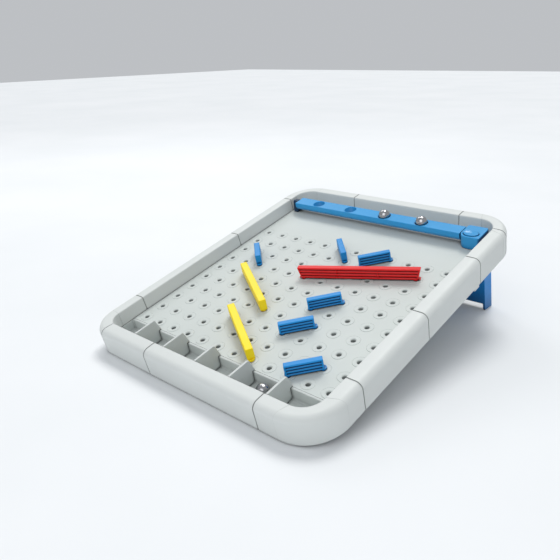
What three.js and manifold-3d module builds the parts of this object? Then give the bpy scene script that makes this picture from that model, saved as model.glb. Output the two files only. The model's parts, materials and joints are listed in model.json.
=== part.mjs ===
// Tilt maze game: a peg board tray on a fold-out stand, with a ball launcher,
// peg-in walls, catch pockets and steel balls.  Millimetres, +Z up.
//
// Everything is laid out in the tray's own frame, where the top of the peg board is z = 0,
// x runs along the front edge with 0 on the middle line, and y runs uphill from the front row of holes.
// The whole tray is then tilted back onto its stand, and its box is centred over the origin.
import * as THREE from 'three';
import { mergeVertices } from 'three/addons/utils/BufferGeometryUtils.js';
import Module from 'manifold-3d';

const wasm = await Module();
wasm.setup();

// ---------------------------------------------------------------- driving dimensions
const TILT_DEG = 14.1;             // slope of the board when the stand is open
const GAP = 0.3;                   // clearance between neighbouring pieces

const PITCH = 20;                  // peg hole spacing
const COLUMNS = 12;
const ROWS = 10;
const HOLE_R = 2.6;
const HOLE_SIDES = 6;
const DECK_THICK = 3;

const INNER_HALF_W = 121.4;        // half of the opening between the rim's inner top edges
const INNER_HALF_L = 149;
const RING_CENTRE_Y = 115;
const RIM_W = 14.6;                // rim, inner top edge to outermost side
const RIM_TOP = 14;
const RIM_BOTTOM = -12;
const RIM_WALL = 2.4;
const RIM_SHOULDER_R = 6.4;
const RIM_LEAN = 1.4;              // the inner side leans out by this much towards its top
// corner radii of the rim at its inner and outer edge: back right, back left, front left, front right
const INNER_CORNER_R = [18, 18, 13, 18];
const OUTER_CORNER_R = [38, 38, 29, 38];
const SEAM = 0.9;                  // width of the groove between two rim segments
const SEAM_TURN_DEG = 1.9;         // the same groove inside a corner, as an angle
const ARC_STEP_DEG = 15;
// where the rim segments meet: in hole columns along the front and back, in hole rows along the sides
const FRONT_SEAMS = [3.0, 9.45];
const RIGHT_SEAMS = [0.42, 5.07, 9.7];
const BACK_SEAMS = [9.48, 3.04];
const LEFT_SEAMS = [11.8, 7.2, 0.42];
const BACK_RIGHT_SEAM_DEG = 13;
const FRONT_LEFT_SEAM_DEG = 256;
const CATCH_LONG = 8.6;            // the catch under the right middle rail
const CATCH_HANG = 2.6;
const CATCH_THICK = 1.6;

const POCKET_BACK = -9.9;          // back wall of the catch pockets
const DECK_FRONT = -7.6;           // front edge of the peg board
const POCKET_FLOOR = -10;
const POCKET_WALL = 1.6;
const DIVIDER_COLUMNS = [1.5, 3.5, 5.5, 7.5, 9.5];
const DIVIDER_THICK = 2.2;
const DIVIDER_TOP = 12.6;
const DIVIDER_TOP_LENGTH = 22;     // level part, from the rim to the sloping back end

const AXIS_Y = 238.5;              // launcher pivot axis, parallel to x
const AXIS_Z = 11.2;
const BAR_LEFT = -110;
const BAR_RIGHT = 96.6;
const BAR_HALF_DEPTH = 7.5;
const BAR_TOP = 13.2;
const BAR_BOTTOM = 3.8;
const STUB_R = 1.6;                // pivot stubs at both ends of the bar
const STUB_LENGTH = 2.2;
const PIVOT_BRACKET_W = 6;
const CELL_COUNT = 4;
const CELL_FIRST_X = -80.5;
const CELL_SPACING = 44;
const CELL_R = 6.6;
const LOADED_CELLS = [2, 3];
const HOUSING_RIGHT = 118;
const HOUSING_FRONT = 227;
const HOUSING_BACK = 250.5;
const HOUSING_WALL = 2;
const HOUSING_CORNER_R = 1.6;
const HOUSING_FRONT_LEFT_R = 8;     // the corner beside the bar is rounded off
const HOUSING_CAVITY_R = 0.8;
const CORNER_STEPS = 4;             // steps to each rounded corner of the housing
const BUTTON_X = 106.9;
const BUTTON_Y = 234.7;
const BUTTON_HALF_W = 7.4;
const BUTTON_HALF_D = 5.2;
const BUTTON_PROUD = 0.8;
const BUTTON_TALL = 9;
const BUTTON_DISH_R = 20;          // the thumb hollow is part of a ball this large
const BUTTON_DISH_DEPTH = 0.8;
const BUTTON_WALL = 1.3;           // the button is a cap, open below for its return spring
const SPRING_R = 2.4;              // to the middle of the wire
const SPRING_WIRE_R = 0.4;
const SPRING_TURNS = 5;
const SPRING_STEPS = 12;           // steps to a turn
const SPRING_SIDES = 6;

const BALL_R = 6;
const BALL_Z_IN_CELL = 13.8;
const POCKET_BALL = [60, -20];     // where the caught ball lies, across and along

const STAND_HALF_W = 110.4;
const STAND_FRONT = 254;
const STAND_BACK = 270;
const STAND_WALL = 2.4;
const STAND_WEB_BOTTOM = -80.5;
const HINGE_Y = 257;
const HINGE_Z = -8.5;
const HINGE_EAR_R = 4.6;
const HINGE_PIN_R = 2;
const HINGE_HOLE_R = 2.4;
const BRACKET_THICK = 6;
const BRACKET_HALF_D = 6;

// overhang is how far a wall's top reaches past its pegs, and its foot is shorter than that by slant
const WALL_KINDS = {
  red: { colour: 0xc3121f, thick: 7, top: 12.4, overhang: 5, slant: 2.8, collar: 3 },
  yellow: { colour: 0xf6d21c, thick: 7, top: 12.4, overhang: 3.6, slant: 0, collar: 3 },
  blue: { colour: 0x1a62b8, thick: 6, top: 11.4, overhang: 1.4, slant: 0, collar: 2.8 },
};
// the two holes that each wall is pegged into, as [column, row], and how far it lies towards the first
const WALLS = [
  ['wall_red_long', 'red', [5, 6], [10, 8], 0],
  ['wall_yellow_1', 'yellow', [2, 5], [5, 3], 0.6],
  ['wall_yellow_2', 'yellow', [4, 2], [7, 0], 2.4],
  ['wall_blue_1', 'blue', [1, 7], [2, 6], 1.4],
  ['wall_blue_2', 'blue', [5, 9], [6, 8], 0.8],
  ['wall_blue_3', 'blue', [7, 8], [8, 9], 0.8],
  ['wall_blue_4', 'blue', [7, 4], [8, 5], 1],
  ['wall_blue_5', 'blue', [7, 2], [8, 3], 0.9],
  ['wall_blue_6', 'blue', [9, 0], [10, 1], 0.7],
];
const WALL_BOTTOM = 1.4;
const WALL_CHAMFER = 0.8;
const PEG_R = 1.9;
const PEG_TIP = -4.8;
const ROUND_SIDES = 10;

// underside of the button's top, which the spring pushes on
const BUTTON_CEILING = BAR_TOP + BUTTON_PROUD - BUTTON_DISH_DEPTH - 1.4;

const GREY = 0xd3d6d6;
const BLUE = 0x2f74c8;
const STEEL = 0xb9bbbd;

const column = (c) => (c - (COLUMNS - 1) / 2) * PITCH;
const row = (r) => r * PITCH;
const rad = THREE.MathUtils.degToRad;

// ---------------------------------------------------------------- solids
function closed(geometry) {
  geometry.deleteAttribute('normal');
  geometry.deleteAttribute('uv');
  return mergeVertices(geometry, 1e-4);
}

function toSolid(geometry) {
  const merged = closed(geometry);
  const vertProperties = new Float32Array(merged.attributes.position.array);
  const triVerts = new Uint32Array(merged.index.array);
  return new wasm.Manifold(new wasm.Mesh({ numProp: 3, vertProperties, triVerts }));
}

function toGeometry(solid) {
  const mesh = solid.getMesh();
  const geometry = new THREE.BufferGeometry();
  geometry.setAttribute('position', new THREE.BufferAttribute(new Float32Array(mesh.vertProperties), 3));
  geometry.setIndex(new THREE.BufferAttribute(new Uint32Array(mesh.triVerts), 1));
  return geometry;
}

const joined = (solids) => solids.reduce((a, b) => a.add(b));

// a flat outline in x, y raised from z0 to z1
function slab(outline, z0, z1) {
  const shape = outline instanceof THREE.Shape ? outline : new THREE.Shape(outline);
  const geometry = new THREE.ExtrudeGeometry(shape, {
    depth: z1 - z0,
    bevelEnabled: false,
    curveSegments: 8,
  });
  return geometry.translate(0, 0, z0);
}

// an outline in y, z drawn out along x from x0 to x1
function slabAlongX(outline, x0, x1) {
  const shape = new THREE.Shape(outline.map(([y, z]) => new THREE.Vector2(y, z)));
  const geometry = new THREE.ExtrudeGeometry(shape, { depth: x1 - x0, bevelEnabled: false });
  const turn = new THREE.Matrix4().makeBasis(
    new THREE.Vector3(0, 1, 0), new THREE.Vector3(0, 0, 1), new THREE.Vector3(1, 0, 0));
  return geometry.applyMatrix4(turn).translate(x0, 0, 0);
}

function block(x0, x1, y0, y1, z0, z1) {
  const geometry = new THREE.BoxGeometry(x1 - x0, y1 - y0, z1 - z0);
  return geometry.translate((x0 + x1) / 2, (y0 + y1) / 2, (z0 + z1) / 2);
}

function rodAlongX(r, x0, x1, y, z, sides = 12) {
  const geometry = new THREE.CylinderGeometry(r, r, x1 - x0, sides).rotateZ(Math.PI / 2);
  return geometry.translate((x0 + x1) / 2, y, z);
}

function rodAlongZ(r, x, y, z0, z1, sides = ROUND_SIDES) {
  const geometry = new THREE.CylinderGeometry(r, r, z1 - z0, sides).rotateX(Math.PI / 2);
  return geometry.translate(x, y, (z0 + z1) / 2);
}

// ---------------------------------------------------------------- the ring that the rim follows
// A station is a place on the ring: { front: x }, { right: y }, { back: x }, { left: y } on a straight side,
// or { turn: degrees } in a corner.  u is the distance outwards from the rim's inner top edge.
const quadrantOf = (turn) => (Math.ceil((turn + 360) / 90 - 1e-9) - 1) % 4;

function cornerRadius(u, turn) {
  const q = quadrantOf(turn);
  return THREE.MathUtils.lerp(INNER_CORNER_R[q], OUTER_CORNER_R[q], u / RIM_W);
}

function ringPoint(station, u) {
  if ('front' in station) return [station.front, RING_CENTRE_Y - INNER_HALF_L - u];
  if ('right' in station) return [INNER_HALF_W + u, station.right];
  if ('back' in station) return [station.back, RING_CENTRE_Y + INNER_HALF_L + u];
  if ('left' in station) return [-INNER_HALF_W - u, station.left];
  const r = cornerRadius(u, station.turn);
  const a = rad(station.turn);
  const quadrant = rad(quadrantOf(station.turn) * 90 + 45);
  const centreX = Math.sign(Math.cos(quadrant)) * (INNER_HALF_W + u - r);
  const centreY = Math.sign(Math.sin(quadrant)) * (INNER_HALF_L + u - r) + RING_CENTRE_Y;
  return [centreX + r * Math.cos(a), centreY + r * Math.sin(a)];
}

function arc(fromDeg, toDeg) {
  const steps = Math.max(1, Math.round(Math.abs(toDeg - fromDeg) / ARC_STEP_DEG));
  return Array.from({ length: steps + 1 }, (_, i) => ({
    // the very ends stay inside their own corner
    turn: THREE.MathUtils.lerp(fromDeg, toDeg, i / steps) + (i === 0 ? 1e-3 : 0),
  }));
}

const ringOutline = (stations, u) => stations.map((s) => new THREE.Vector2(...ringPoint(s, u)));

// ---------------------------------------------------------------- tray
function deckPlate() {
  const edge = RIM_W - RIM_WALL - 1;
  const outline = new THREE.Shape([
    new THREE.Vector2(INNER_HALF_W + edge, DECK_FRONT),
    ...ringOutline([...arc(0, 90), ...arc(90, 180)], edge),
    new THREE.Vector2(-INNER_HALF_W - edge, DECK_FRONT),
  ]);
  for (let r = 0; r < ROWS; r += 1) {
    for (let c = 0; c < COLUMNS; c += 1) {
      const hole = Array.from({ length: HOLE_SIDES }, (_, i) => {
        const a = (i / HOLE_SIDES) * 2 * Math.PI;
        return new THREE.Vector2(column(c) + HOLE_R * Math.cos(a), row(r) + HOLE_R * Math.sin(a));
      });
      outline.holes.push(new THREE.Path(hole));
    }
  }
  return slab(outline, -DECK_THICK, 0);
}

// the front part of the ring outline, cut off straight at y = back
function frontOutline(u, back) {
  return [
    new THREE.Vector2(-INNER_HALF_W - u, back),
    ...ringOutline([...arc(180, 270), ...arc(270, 360)], u),
    new THREE.Vector2(INNER_HALF_W + u, back),
  ];
}

function pocketTray() {
  const cavityEdge = -RIM_LEAN - 0.2;
  const flange = toSolid(slab(frontOutline(RIM_W - RIM_WALL - 1, DECK_FRONT - GAP), -DECK_THICK, 0));
  const tub = toSolid(slab(frontOutline(cavityEdge + POCKET_WALL, DECK_FRONT - GAP),
    POCKET_FLOOR - POCKET_WALL, -DECK_THICK / 2));
  const cavity = toSolid(slab(frontOutline(cavityEdge, POCKET_BACK), POCKET_FLOOR, 1));
  return toGeometry(flange.add(tub).subtract(cavity));
}

function pocketDivider(x) {
  const front = RING_CENTRE_Y - INNER_HALF_L;
  const profile = [
    [front + RIM_LEAN + 0.2 + GAP, POCKET_FLOOR + GAP],
    [POCKET_BACK - GAP, POCKET_FLOOR + GAP],
    [POCKET_BACK - GAP, GAP],
    [DECK_FRONT + 0.6, GAP],
    [front + DIVIDER_TOP_LENGTH, DIVIDER_TOP],
    [front + 0.2 + GAP, DIVIDER_TOP],
    [front + RIM_LEAN + 0.2 + GAP, 0],
  ];
  return slabAlongX(profile, x - DIVIDER_THICK / 2, x + DIVIDER_THICK / 2);
}

// closed section of the rim, as [u, z]: an upside-down channel with a rounded outer shoulder
function rimSection() {
  const shoulderU = RIM_W - RIM_SHOULDER_R;
  const shoulderZ = RIM_TOP - RIM_SHOULDER_R;
  const section = new THREE.Path();
  section.moveTo(-RIM_LEAN, GAP);
  section.lineTo(0, RIM_TOP - 0.8);
  section.lineTo(0.8, RIM_TOP);
  section.lineTo(shoulderU, RIM_TOP);
  section.absarc(shoulderU, shoulderZ, RIM_SHOULDER_R, Math.PI / 2, 0, true);
  section.lineTo(RIM_W - 0.4, RIM_BOTTOM + 0.6);
  section.lineTo(RIM_W - 1, RIM_BOTTOM);
  section.lineTo(RIM_W - 0.4 - RIM_WALL, RIM_BOTTOM);
  section.lineTo(RIM_W - RIM_WALL, shoulderZ);
  section.absarc(shoulderU, shoulderZ, RIM_SHOULDER_R - RIM_WALL, 0, Math.PI / 2, false);
  section.lineTo(3, RIM_TOP - RIM_WALL);
  section.lineTo(RIM_WALL, RIM_TOP - RIM_WALL - 0.6);
  section.lineTo(RIM_WALL - RIM_LEAN, GAP);
  return section.getPoints(2).filter((p, i, all) => i === 0 || p.distanceTo(all[i - 1]) > 1e-6);
}

// rings of points joined one after the other, with both ends closed by the triangles of one ring
function sweep(rings, endTriangles) {
  const n = rings[0].length;
  const index = [];
  for (let s = 0; s + 1 < rings.length; s += 1) {
    for (let i = 0; i < n; i += 1) {
      const a = s * n + i;
      const b = s * n + ((i + 1) % n);
      index.push(a, b, a + n, b, b + n, a + n);
    }
  }
  const last = (rings.length - 1) * n;
  for (const [a, b, c] of endTriangles) {
    index.push(a, b, c);
    index.push(last + c, last + b, last + a);
  }
  const geometry = new THREE.BufferGeometry();
  geometry.setAttribute('position', new THREE.Float32BufferAttribute(rings.flat(2), 3));
  geometry.setIndex(index);
  return geometry;
}

function rimSegment(stations) {
  const section = rimSection();
  const rings = stations.map((s) => section.map((p) => [...ringPoint(s, p.x), p.y]));
  return sweep(rings, THREE.ShapeUtils.triangulateShape(section, []));
}

// a small catch that hangs below the uphill end of the right middle rail
function catchTab() {
  const outer = INNER_HALF_W + RIM_W - 1;
  const end = row(RIGHT_SEAMS[2]) - 1.4;
  return block(outer - CATCH_THICK, outer, end - CATCH_LONG, end, RIM_BOTTOM - CATCH_HANG, RIM_BOTTOM + 1);
}

// rim segments in order around the ring; the grooves between them are at their ends
const half = SEAM / 2;
const halfTurn = SEAM_TURN_DEG / 2;
const [frontLeft, frontRight] = FRONT_SEAMS.map(column);
const [rightFront, rightMiddle, rightBack] = RIGHT_SEAMS.map(row);
const [backRight, backLeft] = BACK_SEAMS.map(column);
const [leftBack, leftMiddle, leftFront] = LEFT_SEAMS.map(row);
const RIM_SEGMENTS = {
  rim_front_rail: [{ front: frontLeft + half }, { front: frontRight - half }],
  rim_front_right_corner: [{ front: frontRight + half }, ...arc(-90, 0), { right: rightFront - half }],
  rim_right_front: [{ right: rightFront + half }, { right: rightMiddle - half }],
  rim_right_middle: [{ right: rightMiddle + half }, { right: rightBack - half }],
  rim_right_back: [{ right: rightBack + half }, ...arc(0, BACK_RIGHT_SEAM_DEG - halfTurn)],
  rim_back_right_corner: [...arc(BACK_RIGHT_SEAM_DEG + halfTurn, 90), { back: backRight + half }],
  rim_back_rail: [{ back: backRight - half }, { back: backLeft + half }],
  rim_back_left_corner: [{ back: backLeft - half }, ...arc(90, 180), { left: leftBack + half }],
  rim_left_back: [{ left: leftBack - half }, { left: leftMiddle + half }],
  rim_left_front: [{ left: leftMiddle - half }, { left: leftFront + half }],
  rim_front_left_corner: [{ left: leftFront - half }, ...arc(180, FRONT_LEFT_SEAM_DEG - halfTurn)],
  rim_front_left_rail: [...arc(FRONT_LEFT_SEAM_DEG + halfTurn, 270), { front: frontLeft - half }],
};

// ---------------------------------------------------------------- launcher
function launcherBar() {
  // the belly is rounded off so that the bar can tip without touching the board
  const edge = 0.5;
  const section = [
    [AXIS_Y - BAR_HALF_DEPTH, BAR_TOP - edge],
    [AXIS_Y - BAR_HALF_DEPTH + edge, BAR_TOP],
    [AXIS_Y + BAR_HALF_DEPTH - edge, BAR_TOP],
    [AXIS_Y + BAR_HALF_DEPTH, BAR_TOP - edge],
    [AXIS_Y + BAR_HALF_DEPTH, AXIS_Z - 3],
    [AXIS_Y + 5.8, AXIS_Z - 6.4],
    [AXIS_Y + 3.4, BAR_BOTTOM],
    [AXIS_Y - 3.4, BAR_BOTTOM],
    [AXIS_Y - 5.8, AXIS_Z - 6.4],
    [AXIS_Y - BAR_HALF_DEPTH, AXIS_Z - 3],
  ];
  const bar = toSolid(slabAlongX(section, BAR_LEFT, BAR_RIGHT));
  const stubs = [
    toSolid(rodAlongX(STUB_R, BAR_LEFT - STUB_LENGTH, BAR_LEFT + 1, AXIS_Y, AXIS_Z)),
    toSolid(rodAlongX(STUB_R, BAR_RIGHT - 1, BAR_RIGHT + STUB_LENGTH, AXIS_Y, AXIS_Z)),
  ];
  let solid = joined([bar, ...stubs]);
  for (let i = 0; i < CELL_COUNT; i += 1) {
    const cup = new THREE.SphereGeometry(CELL_R, 16, 12).rotateX(Math.PI / 2);
    solid = solid.subtract(toSolid(cup.translate(CELL_FIRST_X + i * CELL_SPACING, AXIS_Y, BALL_Z_IN_CELL)));
  }
  return toGeometry(solid);
}

function pivotBracket() {
  const right = BAR_LEFT - GAP;
  const left = right - PIVOT_BRACKET_W;
  const profile = [
    [AXIS_Y - 5.6, GAP],
    [AXIS_Y + 4.8, GAP],
    [AXIS_Y + 2.8, AXIS_Z + 2.6],
    [AXIS_Y - 3.6, AXIS_Z + 2.6],
  ];
  const body = toSolid(slabAlongX(profile, left, right));
  const bore = toSolid(rodAlongX(STUB_R + GAP, right - STUB_LENGTH - GAP, right + 1, AXIS_Y, AXIS_Z));
  return toGeometry(body.subtract(bore));
}

function roundedBox(x0, x1, y0, y1, r, frontLeftR = r) {
  const shape = new THREE.Shape();
  shape.moveTo(x0 + frontLeftR, y0);
  shape.lineTo(x1 - r, y0);
  shape.absarc(x1 - r, y0 + r, r, -Math.PI / 2, 0, false);
  shape.lineTo(x1, y1 - r);
  shape.absarc(x1 - r, y1 - r, r, 0, Math.PI / 2, false);
  shape.lineTo(x0 + r, y1);
  shape.absarc(x0 + r, y1 - r, r, Math.PI / 2, Math.PI, false);
  shape.lineTo(x0, y0 + frontLeftR);
  shape.absarc(x0 + frontLeftR, y0 + frontLeftR, frontLeftR, Math.PI, 1.5 * Math.PI, false);
  return shape.extractPoints(CORNER_STEPS).shape;
}

function ovalOutline(halfW, halfD) {
  const shape = new THREE.Shape();
  shape.absellipse(BUTTON_X, BUTTON_Y, halfW, halfD, 0, 2 * Math.PI, false, 0);
  return shape.getPoints(8).slice(0, -1);
}

function releaseHousing() {
  const left = BAR_RIGHT + GAP;
  const outline = roundedBox(
    left, HOUSING_RIGHT, HOUSING_FRONT, HOUSING_BACK, HOUSING_CORNER_R, HOUSING_FRONT_LEFT_R);
  const shell = toSolid(slab(outline, GAP, BAR_TOP));
  const cavity = roundedBox(
    left + HOUSING_WALL, HOUSING_RIGHT - HOUSING_WALL,
    HOUSING_FRONT + HOUSING_WALL, HOUSING_BACK - HOUSING_WALL,
    HOUSING_CAVITY_R, HOUSING_FRONT_LEFT_R - HOUSING_WALL);
  const inside = toSolid(slab(cavity, -1, BAR_TOP - HOUSING_WALL));
  const window = toSolid(slab(ovalOutline(BUTTON_HALF_W + GAP, BUTTON_HALF_D + GAP), 1, BAR_TOP + 1));
  const bore = toSolid(rodAlongX(STUB_R + GAP, left - 1, left + HOUSING_WALL + 1, AXIS_Y, AXIS_Z));
  return toGeometry(shell.subtract(inside).subtract(window).subtract(bore));
}

function releaseButton() {
  const top = BAR_TOP + BUTTON_PROUD;
  const cap = toSolid(slab(ovalOutline(BUTTON_HALF_W, BUTTON_HALF_D), top - BUTTON_TALL, top));
  const dish = new THREE.SphereGeometry(BUTTON_DISH_R, 24, 16);
  dish.translate(BUTTON_X, BUTTON_Y, top + BUTTON_DISH_R - BUTTON_DISH_DEPTH);
  const hollow = toSolid(slab(ovalOutline(BUTTON_HALF_W - BUTTON_WALL, BUTTON_HALF_D - BUTTON_WALL),
    top - BUTTON_TALL - 1, BUTTON_CEILING));
  return toGeometry(cap.subtract(toSolid(dish)).subtract(hollow));
}

// the coil between the board and the inside of the button
function returnSpring() {
  const low = GAP + SPRING_WIRE_R;
  const high = BUTTON_CEILING - GAP - SPRING_WIRE_R;
  const steps = SPRING_TURNS * SPRING_STEPS;
  const rings = Array.from({ length: steps + 1 }, (_, k) => {
    const along = (k / SPRING_STEPS) * 2 * Math.PI;
    return Array.from({ length: SPRING_SIDES }, (_unused, i) => {
      const around = (-i / SPRING_SIDES) * 2 * Math.PI;
      const r = SPRING_R + SPRING_WIRE_R * Math.cos(around);
      const z = THREE.MathUtils.lerp(low, high, k / steps) + SPRING_WIRE_R * Math.sin(around);
      return [BUTTON_X + r * Math.cos(along), BUTTON_Y + r * Math.sin(along), z];
    });
  });
  const fan = Array.from({ length: SPRING_SIDES - 2 }, (_, i) => [0, i + 2, i + 1]);
  return sweep(rings, fan);
}

// ---------------------------------------------------------------- stand
// height of the table under the tray at y, in the tray's frame
const lowestEdge = [RING_CENTRE_Y - INNER_HALF_L - RIM_W + 1, RIM_BOTTOM];
const groundAt = (y) => lowestEdge[1] + (lowestEdge[0] - y) * Math.tan(rad(TILT_DEG));

function standPanel() {
  const top = -DECK_THICK - GAP;
  const ear = Array.from({ length: 5 }, (_, i) => {
    const a = Math.PI / 2 + (i / 4) * (Math.PI / 2);
    return [HINGE_Y + HINGE_EAR_R * Math.cos(a), HINGE_Z + HINGE_EAR_R * Math.sin(a)];
  });
  const profile = [
    [STAND_BACK - 2, top],
    ...ear,
    [STAND_FRONT, HINGE_Z - 3],
    [STAND_FRONT, groundAt(STAND_FRONT)],
    [STAND_BACK, groundAt(STAND_BACK)],
    [STAND_BACK, top - 2],
  ];
  const inner = STAND_HALF_W - STAND_WALL;
  const web = toSolid(block(-inner - 0.5, inner + 0.5, STAND_FRONT, STAND_FRONT + STAND_WALL,
    STAND_WEB_BOTTOM, HINGE_Z - 3));
  let solid = web;
  for (const side of [-1, 1]) {
    const x0 = side < 0 ? -STAND_HALF_W : inner;
    solid = solid.add(toSolid(slabAlongX(profile, x0, x0 + STAND_WALL)));
    solid = solid.subtract(toSolid(rodAlongX(HINGE_HOLE_R, x0 - 1, x0 + STAND_WALL + 1, HINGE_Y, HINGE_Z)));
  }
  return toGeometry(solid);
}

function standBracket(side) {
  const near = STAND_HALF_W + GAP;
  const x0 = side < 0 ? -near - BRACKET_THICK : near;
  const profile = [
    [HINGE_Y - BRACKET_HALF_D, -DECK_THICK - GAP],
    [HINGE_Y - 3, HINGE_Z - 4],
    [HINGE_Y + 3, HINGE_Z - 4],
    [HINGE_Y + BRACKET_HALF_D, -DECK_THICK - GAP],
  ];
  const body = toSolid(slabAlongX(profile, x0, x0 + BRACKET_THICK));
  return toGeometry(body.subtract(toSolid(rodAlongX(HINGE_HOLE_R, x0 - 1, x0 + BRACKET_THICK + 1,
    HINGE_Y, HINGE_Z))));
}

function hingePin(side) {
  const inner = STAND_HALF_W - STAND_WALL - 1.6;
  const outer = STAND_HALF_W + GAP + BRACKET_THICK + 0.4;
  return rodAlongX(HINGE_PIN_R, side < 0 ? -outer : inner, side < 0 ? -inner : outer, HINGE_Y, HINGE_Z);
}

// ---------------------------------------------------------------- walls and balls
// a wall piece lies along its own x axis, with its two pegs at plus and minus half the hole distance
function wallPiece(kind, span, shift) {
  const { thick, top, overhang, slant, collar } = WALL_KINDS[kind];
  const t = thick / 2;
  const section = [
    [-t, WALL_BOTTOM],
    [t, WALL_BOTTOM],
    [t, top - WALL_CHAMFER],
    [t - WALL_CHAMFER, top],
    [-t + WALL_CHAMFER, top],
    [-t, top - WALL_CHAMFER],
  ];
  const end = span / 2 + overhang;
  const body = slabAlongX(section, -end, end);
  const corners = body.attributes.position;
  for (let i = 0; i < corners.count; i += 1) {
    const drop = (top - corners.getZ(i)) / (top - WALL_BOTTOM);
    corners.setX(i, corners.getX(i) - Math.sign(corners.getX(i)) * slant * drop);
  }
  const solids = [toSolid(body.translate(-shift, 0, 0))];
  for (const x of [-span / 2, span / 2]) {
    solids.push(toSolid(rodAlongZ(collar, x, 0, GAP, WALL_BOTTOM + 1)));
    solids.push(toSolid(rodAlongZ(PEG_R, x, 0, PEG_TIP, WALL_BOTTOM)));
  }
  return toGeometry(joined(solids));
}

const ballGeometry = () => new THREE.IcosahedronGeometry(BALL_R, 2);

// ---------------------------------------------------------------- assembly
const tray = new THREE.Group();
const parts = {};

function add(name, geometry, colour, roughness = 0.35, metalness = 0) {
  const material = new THREE.MeshStandardMaterial({ color: colour, roughness, metalness });
  const mesh = new THREE.Mesh(closed(geometry), material);
  mesh.name = name;
  parts[name] = mesh;
  tray.add(mesh);
  return mesh;
}

add('deck_plate', deckPlate(), GREY, 0.45);
add('pocket_tray', pocketTray(), GREY, 0.45);
DIVIDER_COLUMNS.forEach((c, i) => add(`pocket_divider_${i + 1}`, pocketDivider(column(c)), GREY, 0.45));
for (const [name, stations] of Object.entries(RIM_SEGMENTS)) {
  const segment = rimSegment(stations);
  const hasCatch = name === 'rim_right_middle';
  add(name, hasCatch ? toGeometry(toSolid(segment).add(toSolid(catchTab()))) : segment, GREY, 0.3);
}

add('launcher_bar', launcherBar(), BLUE, 0.25);
add('launcher_pivot_bracket', pivotBracket(), BLUE, 0.3);
add('release_housing', releaseHousing(), BLUE, 0.25);
add('release_button', releaseButton(), BLUE, 0.25);
add('return_spring', returnSpring(), STEEL, 0.3, 1);

add('stand_panel', standPanel(), BLUE, 0.3);
add('stand_bracket_left', standBracket(-1), GREY, 0.4);
add('stand_bracket_right', standBracket(1), GREY, 0.4);
add('stand_pin_left', hingePin(-1), STEEL, 0.3, 1);
add('stand_pin_right', hingePin(1), STEEL, 0.3, 1);

for (const [name, kind, from, to, shift] of WALLS) {
  const a = new THREE.Vector2(column(from[0]), row(from[1]));
  const b = new THREE.Vector2(column(to[0]), row(to[1]));
  const mesh = add(name, wallPiece(kind, a.distanceTo(b), shift), WALL_KINDS[kind].colour, 0.25);
  mesh.position.set((a.x + b.x) / 2, (a.y + b.y) / 2, 0);
  mesh.rotation.z = b.clone().sub(a).angle();
}

for (const cell of LOADED_CELLS) {
  const ball = add(`ball_launcher_${cell + 1}`, ballGeometry(), STEEL, 0.12, 1);
  ball.position.set(CELL_FIRST_X + cell * CELL_SPACING, AXIS_Y, BALL_Z_IN_CELL);
}
const caught = add('ball_in_pocket', ballGeometry(), STEEL, 0.12, 1);
caught.position.set(...POCKET_BALL, POCKET_FLOOR + BALL_R + GAP);

// tilt the tray onto its stand, then stand its box on z = 0 over the origin
tray.rotation.x = rad(TILT_DEG);
tray.updateMatrixWorld(true);
const size = new THREE.Box3().setFromObject(tray, true);
tray.position.set(-(size.min.x + size.max.x) / 2, -(size.min.y + size.max.y) / 2, -size.min.z);

const game = new THREE.Group();
game.add(tray);
export default game;
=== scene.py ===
"""Looks of the tilt maze game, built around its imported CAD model.

Shapes are made in the tray's own frame, in millimetres: z = 0 is the top of the peg board, x runs
along the low front edge from its middle, y runs uphill from the front row of holes. TRAY carries
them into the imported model's frame, in metres.
"""
import json
import math

import bmesh
import bpy
from mathutils import Matrix, Vector

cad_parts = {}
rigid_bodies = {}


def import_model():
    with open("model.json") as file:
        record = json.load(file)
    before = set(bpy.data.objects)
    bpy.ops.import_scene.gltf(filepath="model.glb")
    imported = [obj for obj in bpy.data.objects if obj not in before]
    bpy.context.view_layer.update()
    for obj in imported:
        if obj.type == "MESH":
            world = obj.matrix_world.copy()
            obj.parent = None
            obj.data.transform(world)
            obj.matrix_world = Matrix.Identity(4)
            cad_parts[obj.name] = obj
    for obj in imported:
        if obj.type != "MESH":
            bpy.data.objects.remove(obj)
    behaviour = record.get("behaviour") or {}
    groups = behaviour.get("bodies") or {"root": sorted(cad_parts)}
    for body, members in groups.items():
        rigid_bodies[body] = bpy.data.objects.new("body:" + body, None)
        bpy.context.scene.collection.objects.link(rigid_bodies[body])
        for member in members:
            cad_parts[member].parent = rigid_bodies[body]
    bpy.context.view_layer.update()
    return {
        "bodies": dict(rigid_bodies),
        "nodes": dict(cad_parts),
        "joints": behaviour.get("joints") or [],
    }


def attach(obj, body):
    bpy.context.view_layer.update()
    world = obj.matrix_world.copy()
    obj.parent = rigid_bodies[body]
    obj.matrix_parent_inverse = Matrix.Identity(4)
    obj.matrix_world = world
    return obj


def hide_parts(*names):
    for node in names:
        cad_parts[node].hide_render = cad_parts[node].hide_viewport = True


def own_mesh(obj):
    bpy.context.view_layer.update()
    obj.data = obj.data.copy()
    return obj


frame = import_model()
joints = {joint["name"]: joint for joint in frame["joints"]}

# ------------------------------------------------------------------ the tray's frame
PIVOT_Y = 238.5                    # launcher pivot axis in the tray's frame
PIVOT_Z = 11.2
board_normal = Vector(joints["wall_red_long_pull"]["axis"])
TILT = math.atan2(-board_normal.y, board_normal.z)
TRAY = (
    Matrix.Translation(Vector(joints["launcher_tip"]["pos_m"]))
    @ Matrix.Rotation(TILT, 4, "X")
    @ Matrix.Scale(0.001, 4)
    @ Matrix.Translation((0, -PIVOT_Y, -PIVOT_Z))
)
INTO_TRAY = TRAY.inverted()


def corners_of(node):
    """Every vertex of a CAD node, in the tray's frame."""
    return [INTO_TRAY @ v.co for v in frame["nodes"][node].data.vertices]


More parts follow.
